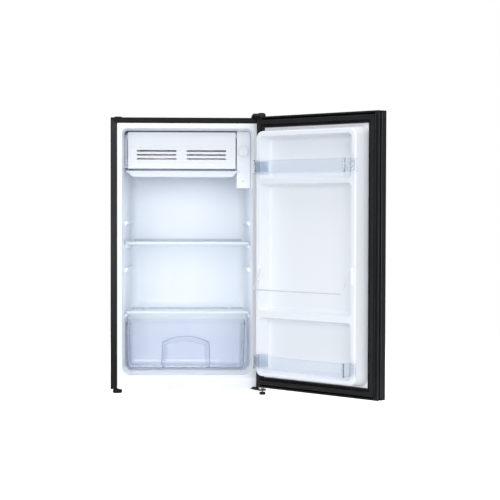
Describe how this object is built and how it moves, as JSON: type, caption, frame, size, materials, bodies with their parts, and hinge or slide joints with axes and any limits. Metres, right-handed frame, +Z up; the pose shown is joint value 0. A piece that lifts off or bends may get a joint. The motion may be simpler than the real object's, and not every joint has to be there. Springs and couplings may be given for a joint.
{
  "type": "mini fridge",
  "caption": "Compact black single-door refrigerator, door open, with a freezer box, glass shelf, crisper drawer, clear door guards and a rear wire condenser.",
  "frame": {"origin": "on the floor, at the centre of the cabinet's footprint between its side walls", "axes": "+Z up, front of the cabinet towards -Y, hinge side towards +X"},
  "size_m": [0.8054, 0.7672, 0.8635],
  "materials": {
    "black_skin": "satin black paint with a fine texture",
    "black_plastic": "fine matt moulding",
    "white_liner": "glossy vacuum-formed sheet",
    "white_paint": "smooth white paint",
    "white_plastic": "smooth white moulding",
    "clear_plastic": "clear bluish moulding",
    "shelf_glass": "polished sheet glass",
    "trim_plastic": "smooth pale moulding",
    "aluminium": "mill finish",
    "galvanised": "zinc coated sheet",
    "plated_steel": "bright plated",
    "black_steel": "stoved black enamel",
    "copper": "drawn copper",
    "foam": "rigid foam",
    "gasket": "soft extruded seal",
    "rubber": "moulded rubber",
    "magnet": "flexible magnet strip"
  },
  "bodies": {
    "cabinet": {"outer_shell": "black_skin", "back_panel": "galvanised", "bay_panel": "galvanised", "base_plate": "galvanised", "front_rail": "white_paint", "inner_liner": "white_liner", "cabinet_foam": "foam", "evaporator": "aluminium", "evaporator_hangers": "white_plastic", "freezer_frame": "white_plastic", "tray_rails": "white_paint", "thermostat_housing": "white_plastic", "thermostat_switch": "galvanised", "sensor_tube": "copper", "rear_feet": "black_plastic", "top_hinge_bracket": "black_steel", "top_hinge_pin": "plated_steel", "top_hinge_cover": "black_plastic", "hinge_hole_plugs": "black_plastic", "bottom_hinge_bracket": "black_steel", "bottom_hinge_pin": "plated_steel", "hinge_screws": "plated_steel", "compressor": "black_steel", "compressor_motor": "galvanised", "compressor_grommets": "rubber", "compressor_bolts": "plated_steel", "relay_cover": "black_plastic", "power_inlet": "black_plastic", "condenser_tube": "black_steel", "condenser_wires": "black_steel", "condenser_brackets": "black_plastic", "rear_screws": "plated_steel", "filter_drier": "copper", "refrigerant_tubes": "copper", "drain_pan": "black_plastic"},
    "door": {"door_panel": "black_skin", "door_top_cap": "black_plastic", "door_bottom_cap": "black_plastic", "hinge_bushes": "white_plastic", "door_liner": "white_liner", "door_foam": "foam", "door_gasket": "gasket", "gasket_magnet": "magnet"},
    "top_guard": {"door_bar_top": "clear_plastic"},
    "bottom_guard": {"door_bar_bottom": "clear_plastic"},
    "bail": {"bottle_bail": "plated_steel"},
    "flap": {"freezer_flap": "white_plastic"},
    "tray": {"drip_tray": "white_plastic"},
    "knob": {"thermostat_knob": "white_plastic"},
    "shelf": {"shelf_glass": "shelf_glass", "shelf_front_trim": "trim_plastic", "shelf_rear_trim": "trim_plastic"},
    "crisper_cover": {"cover_glass": "shelf_glass", "cover_front_trim": "trim_plastic", "cover_rear_trim": "trim_plastic"},
    "crisper": {"crisper_drawer": "clear_plastic"},
    "left_foot": {"left_foot": "black_plastic"},
    "right_foot": {"right_foot": "black_plastic"}
  },
  "joints": [
    {"name": "door_hinge", "type": "hinge", "parent": "cabinet", "child": "door", "pos_m": [0.226, -0.222, 0.05], "axis": [0, 0, 1], "range_deg": [-135, 0]},
    {"name": "top_guard_lift", "type": "slide", "parent": "door", "child": "top_guard", "axis": [0, 0, 1], "range_m": [0, 0.025]},
    {"name": "bottom_guard_lift", "type": "slide", "parent": "door", "child": "bottom_guard", "axis": [0, 0, 1], "range_m": [0, 0.025]},
    {"name": "bail_swing", "type": "hinge", "parent": "door", "child": "bail", "pos_m": [0.34197, -0.42565, 0.39], "axis": [-0.7071, 0.7071, 0], "range_deg": [0, 95]},
    {"name": "flap_hinge", "type": "hinge", "parent": "cabinet", "child": "flap", "pos_m": [0, -0.1175, 0.8], "axis": [-1, 0, 0], "range_deg": [0, 90]},
    {"name": "tray_slide", "type": "slide", "parent": "cabinet", "child": "tray", "axis": [0, -1, 0], "range_m": [0, 0.16]},
    {"name": "knob_turn", "type": "hinge", "parent": "cabinet", "child": "knob", "pos_m": [0.1738, -0.122, 0.749], "axis": [0, -1, 0], "range_deg": [0, 300]},
    {"name": "shelf_slide", "type": "slide", "parent": "cabinet", "child": "shelf", "axis": [0, -1, 0], "range_m": [0, 0.2]},
    {"name": "cover_slide", "type": "slide", "parent": "cabinet", "child": "crisper_cover", "axis": [0, -1, 0], "range_m": [0, 0.1]},
    {"name": "crisper_slide", "type": "slide", "parent": "cabinet", "child": "crisper", "axis": [0, -1, 0], "range_m": [0, 0.115]},
    {"name": "left_foot_turn", "type": "hinge", "parent": "cabinet", "child": "left_foot", "pos_m": [-0.216, -0.176, 0.01], "axis": [0, 0, 1], "range_deg": [0, 360]},
    {"name": "right_foot_turn", "type": "hinge", "parent": "cabinet", "child": "right_foot", "pos_m": [0.231, -0.23, 0.01], "axis": [0, 0, 1], "range_deg": [0, 360]}
  ]
}
